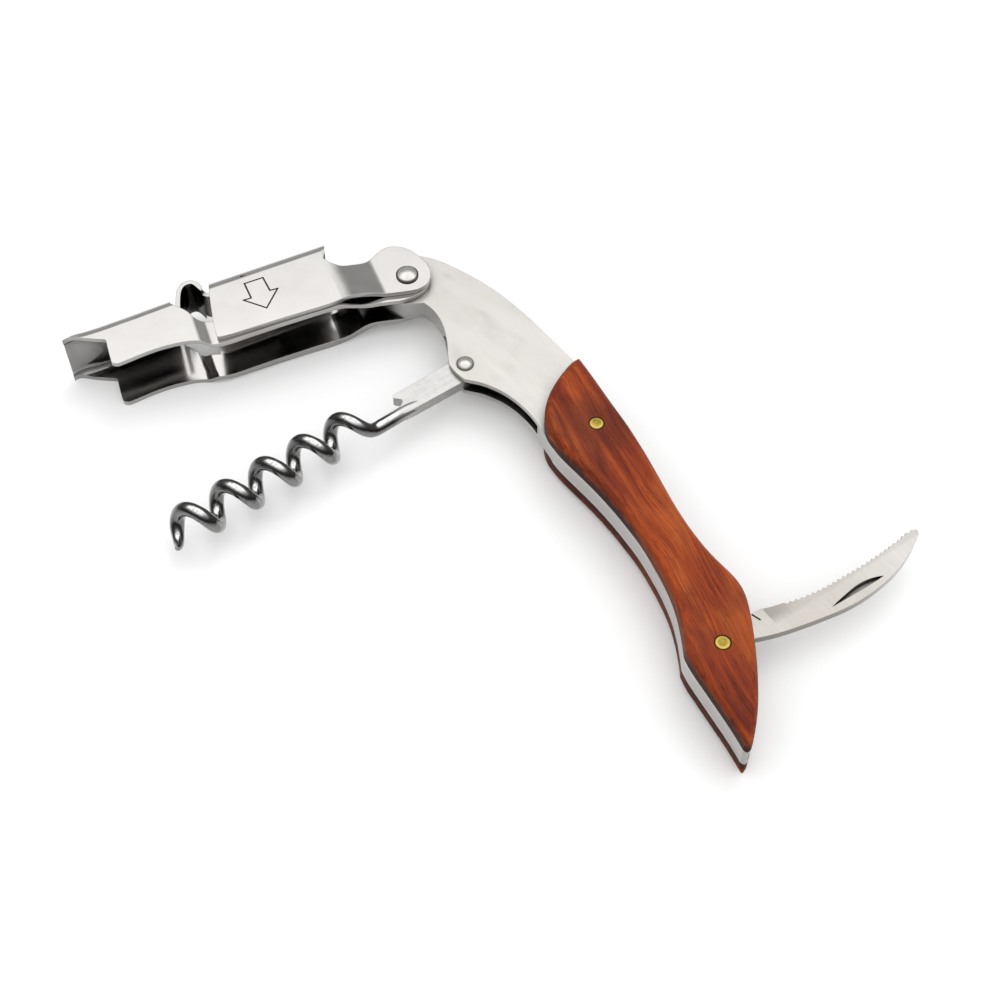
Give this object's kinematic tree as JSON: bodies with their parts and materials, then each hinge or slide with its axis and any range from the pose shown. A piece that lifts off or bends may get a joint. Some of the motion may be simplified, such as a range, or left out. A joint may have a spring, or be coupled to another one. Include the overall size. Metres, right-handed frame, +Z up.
{
  "type": "waiters corkscrew",
  "caption": "folding waiter's corkscrew with wooden handle, steel bolster, two-step sprung lever, helical worm and serrated foil knife, all part open",
  "frame": {"origin": "bottom centre of the bounding box, on the plane the corkscrew lies on", "axes": "+Z up through the thickness, along every hinge axis; +X from the lever's foot towards the knife's tip; +Y from the handle's tail towards the lever pivot"},
  "size_m": [0.153, 0.1068, 0.0122],
  "materials": {
    "bolster_steel": "satin",
    "spring_steel": "fine brushed",
    "lever_chrome": "polished",
    "worm_chrome": "mirror",
    "knife_steel": "satin, hollow ground",
    "rosewood": "oiled, polished smooth",
    "brass": "polished flush"
  },
  "bodies": {
    "handle": {"front_liner": "bolster_steel", "back_liner": "bolster_steel", "head_spacer": "bolster_steel", "backspring": "spring_steel", "front_scale": "rosewood", "back_scale": "rosewood", "head_pin": "brass", "tail_pin": "brass", "lever_rivet": "lever_chrome", "worm_rivet": "lever_chrome", "knife_washers": "spring_steel"},
    "lever": {"lever_arm": "lever_chrome"},
    "sleeve": {"push_sleeve": "lever_chrome", "spring_rivet": "spring_steel", "sleeve_spring": "spring_steel"},
    "corkscrew_worm": {"worm": "worm_chrome"},
    "knife": {"foil_knife": "knife_steel"}
  },
  "joints": [
    {"name": "lever_hinge", "type": "hinge", "parent": "handle", "child": "lever", "pos_m": [-0.01341, 0.04598, 0.0061], "axis": [0, 0, 1], "range_deg": [-60, 98]},
    {"name": "worm_hinge", "type": "hinge", "parent": "handle", "child": "corkscrew_worm", "pos_m": [-0.00217, 0.0257, 0.0061], "axis": [0, 0, 1], "range_deg": [-52, 84.5]},
    {"name": "sleeve_push", "type": "hinge", "parent": "lever", "child": "sleeve", "pos_m": [-0.01341, 0.04598, 0.0061], "axis": [0, 0, 1], "range_deg": [0, 7], "stiffness_Nm_per_rad": 0.2},
    {"name": "knife_hinge", "type": "hinge", "parent": "handle", "child": "knife", "pos_m": [0.04022, -0.03569, 0.0061], "axis": [0, 0, 1], "range_deg": [-100, 72]}
  ],
  "couplings": [
    {"joint": "worm_hinge", "follows": "lever_hinge", "ratio": 0.85714}
  ]
}
